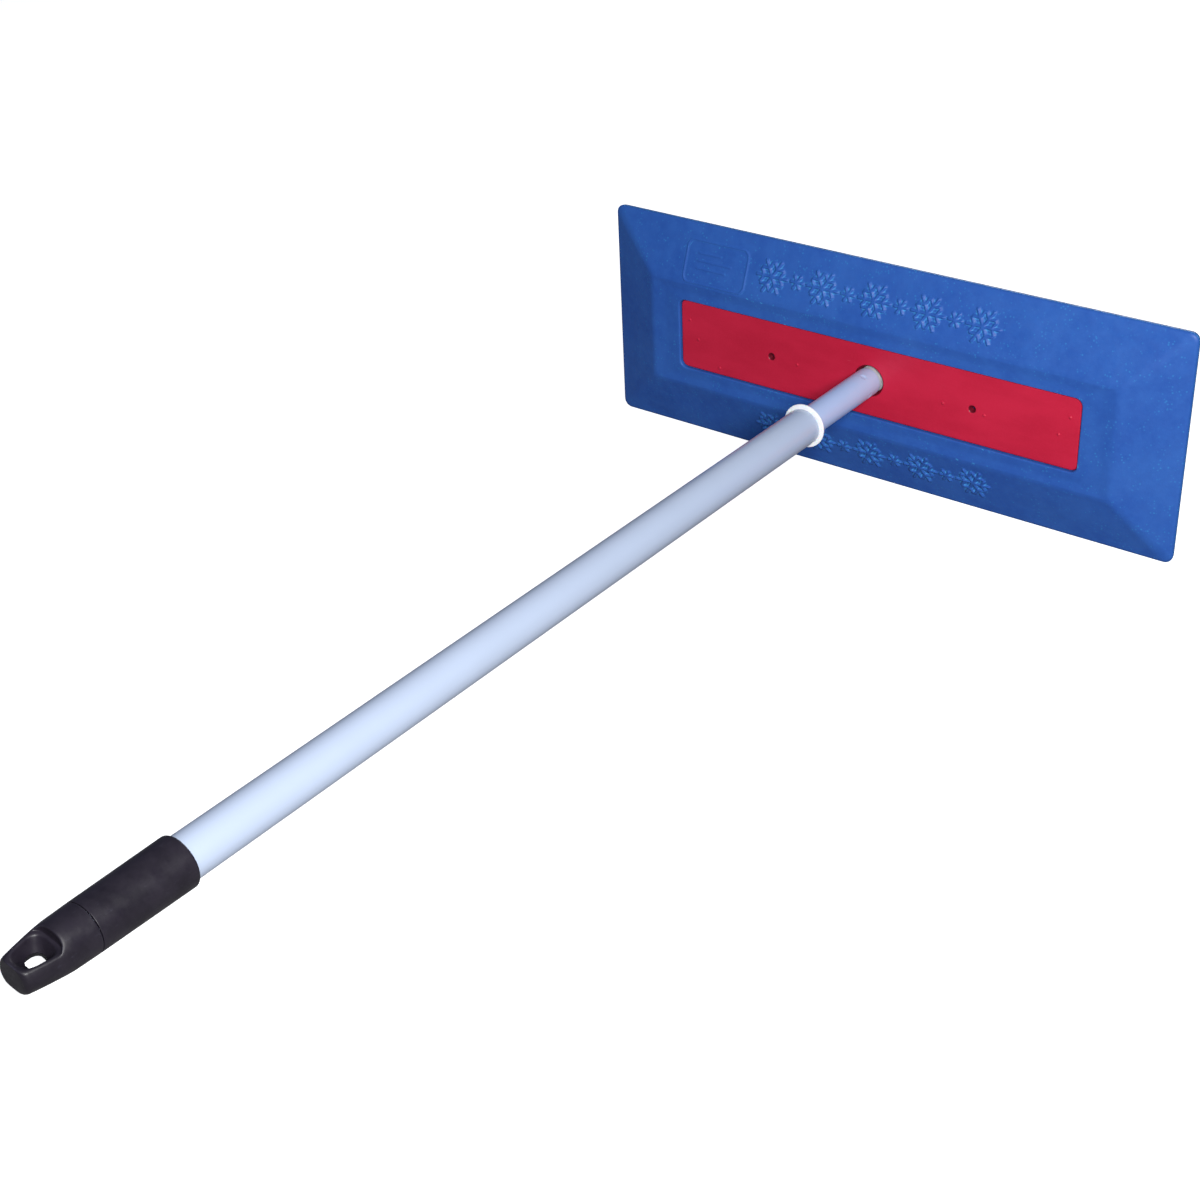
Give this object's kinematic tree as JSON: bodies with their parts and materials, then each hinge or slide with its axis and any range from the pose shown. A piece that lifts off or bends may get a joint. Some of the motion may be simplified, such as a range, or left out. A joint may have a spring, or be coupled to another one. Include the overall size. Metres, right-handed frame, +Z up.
{
  "type": "snow brush scraper",
  "caption": "Snow brush scraper for vehicles: a wide bevelled foam push head on a red plate, screwed to a twist-lock telescopic pole with a black grip and hang-up cap.",
  "frame": {"origin": "middle of the bounding box, on the floor that the tool stands on: x = 0 is the pole's own plane, z = 0 is the floor under the head's lower edge and the grip", "axes": "+Y along the tool from the grip to the head's working face, +Z up, +X to the right when looking along +Y. The pole axis leans up towards the head by 5.4 degrees in the YZ plane"},
  "size_m": [0.4318, 0.734, 0.1569],
  "materials": {
    "foam_blue": "matte",
    "plate_red": "satin",
    "lock_plastic": "satin",
    "pole_paint": "satin",
    "collar_white": "satin",
    "grip_black": "satin"
  },
  "bodies": {
    "outer_pole": {"outer_tube": "pole_paint", "collar_bush": "collar_white", "grip_sleeve": "grip_black", "hang_cap": "grip_black"},
    "lock_ring": {"lock_ring": "lock_plastic"},
    "inner_pole": {"inner_tube": "pole_paint", "lock_plug": "lock_plastic", "threaded_tip": "lock_plastic"},
    "head": {"foam_head": "foam_blue", "mounting_plate": "plate_red"}
  },
  "joints": [
    {"name": "telescope", "type": "slide", "parent": "outer_pole", "child": "lock_ring", "axis": [0, 0.9956, 0.0941], "range_m": [0, 0.457]},
    {"name": "twist_lock", "type": "hinge", "parent": "lock_ring", "child": "inner_pole", "pos_m": [0, -0.27739, 0.01911], "axis": [0, 0.9956, 0.0941], "range_deg": [-60, 60]},
    {"name": "head_unscrew", "type": "slide", "parent": "inner_pole", "child": "head", "axis": [0, 0.9956, 0.0941], "range_m": [0, 0.05]}
  ]
}
